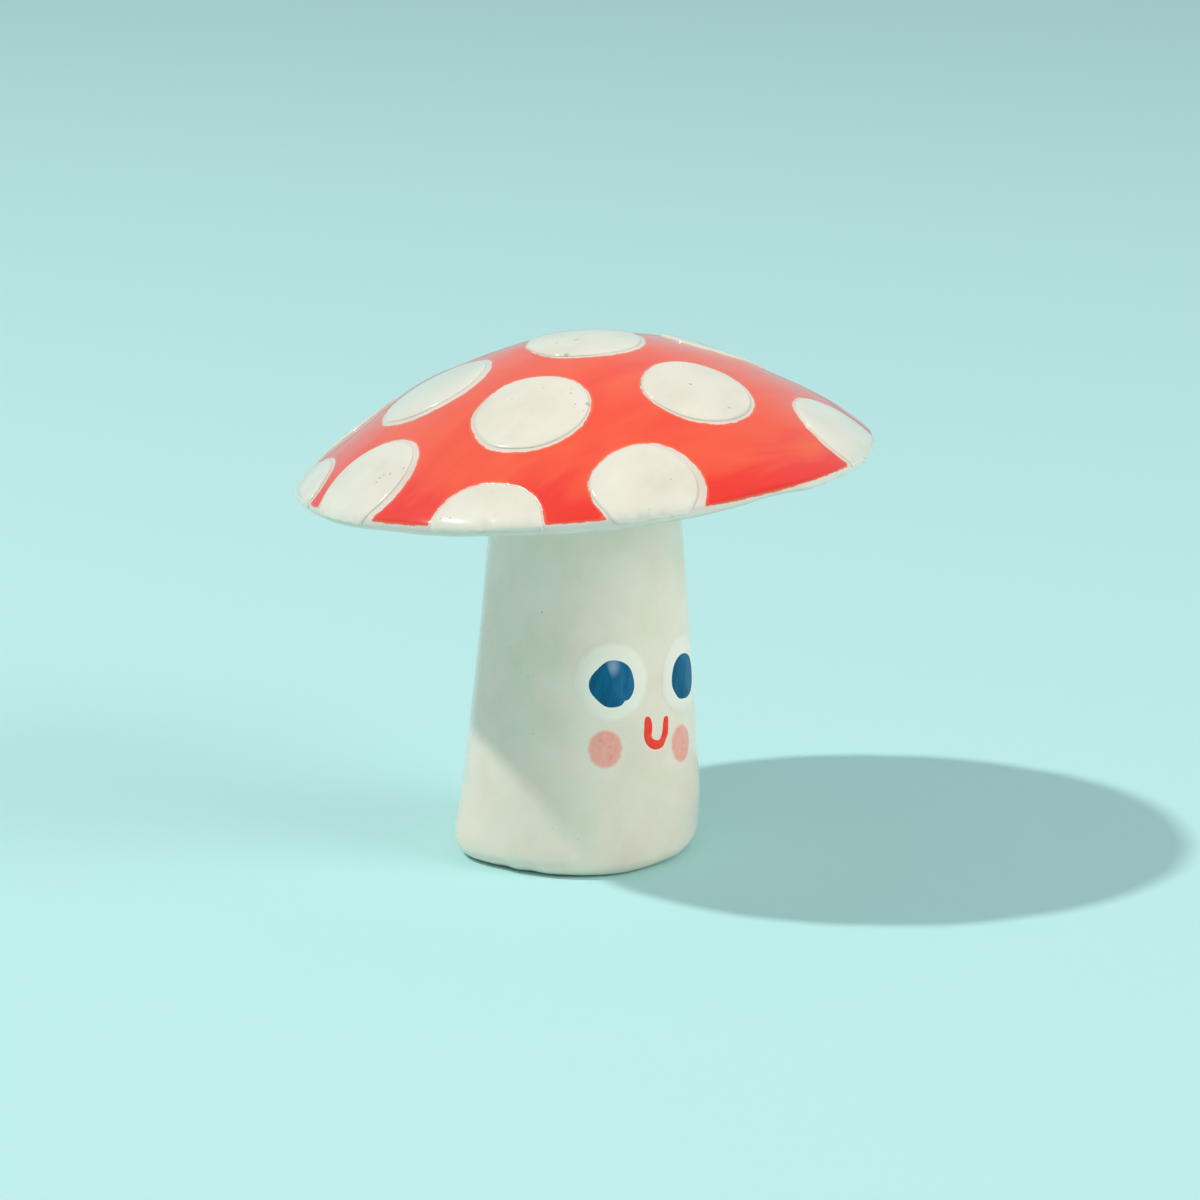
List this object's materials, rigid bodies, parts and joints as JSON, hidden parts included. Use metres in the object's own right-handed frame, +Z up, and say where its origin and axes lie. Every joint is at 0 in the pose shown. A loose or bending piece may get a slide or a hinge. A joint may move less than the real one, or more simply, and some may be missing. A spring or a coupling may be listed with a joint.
{
  "type": "ceramic mushroom ornament",
  "caption": "Glazed ceramic toadstool ornament: a wide domed cap with raised round spots, luted to a leaning hollow stem on a flat foot, with a painted face.",
  "frame": {"origin": "centre of the stem on the flat underside of the foot", "axes": "+Z up, -Y the way the painted face looks, +X to the right of someone who looks at the face"},
  "size_m": [0.0798, 0.0788, 0.0724],
  "materials": {
    "red_glaze": "brushed red underglaze under clear gloss",
    "cream_glaze": "clear gloss over cream clay",
    "spot_glaze": "clear gloss over cream clay, fine pinholes",
    "white_slip": "clear gloss over white slip",
    "bare_clay": "bare fired clay"
  },
  "bodies": {
    "root": {"cap_shell": "red_glaze", "stem_tube": "cream_glaze", "foot_slab": "cream_glaze", "luting_coil": "bare_clay", "spot_disc_01": "spot_glaze", "spot_disc_02": "spot_glaze", "spot_disc_03": "spot_glaze", "spot_disc_04": "spot_glaze", "spot_disc_05": "spot_glaze", "spot_disc_06": "spot_glaze", "spot_disc_07": "spot_glaze", "spot_disc_08": "spot_glaze", "spot_disc_09": "spot_glaze", "spot_disc_10": "spot_glaze", "spot_disc_11": "spot_glaze", "spot_disc_12": "spot_glaze", "spot_disc_13": "spot_glaze", "spot_disc_14": "spot_glaze", "spot_disc_15": "spot_glaze", "spot_disc_16": "spot_glaze", "eye_disc_left": "white_slip", "eye_disc_right": "white_slip"}
  },
  "joints": []
}
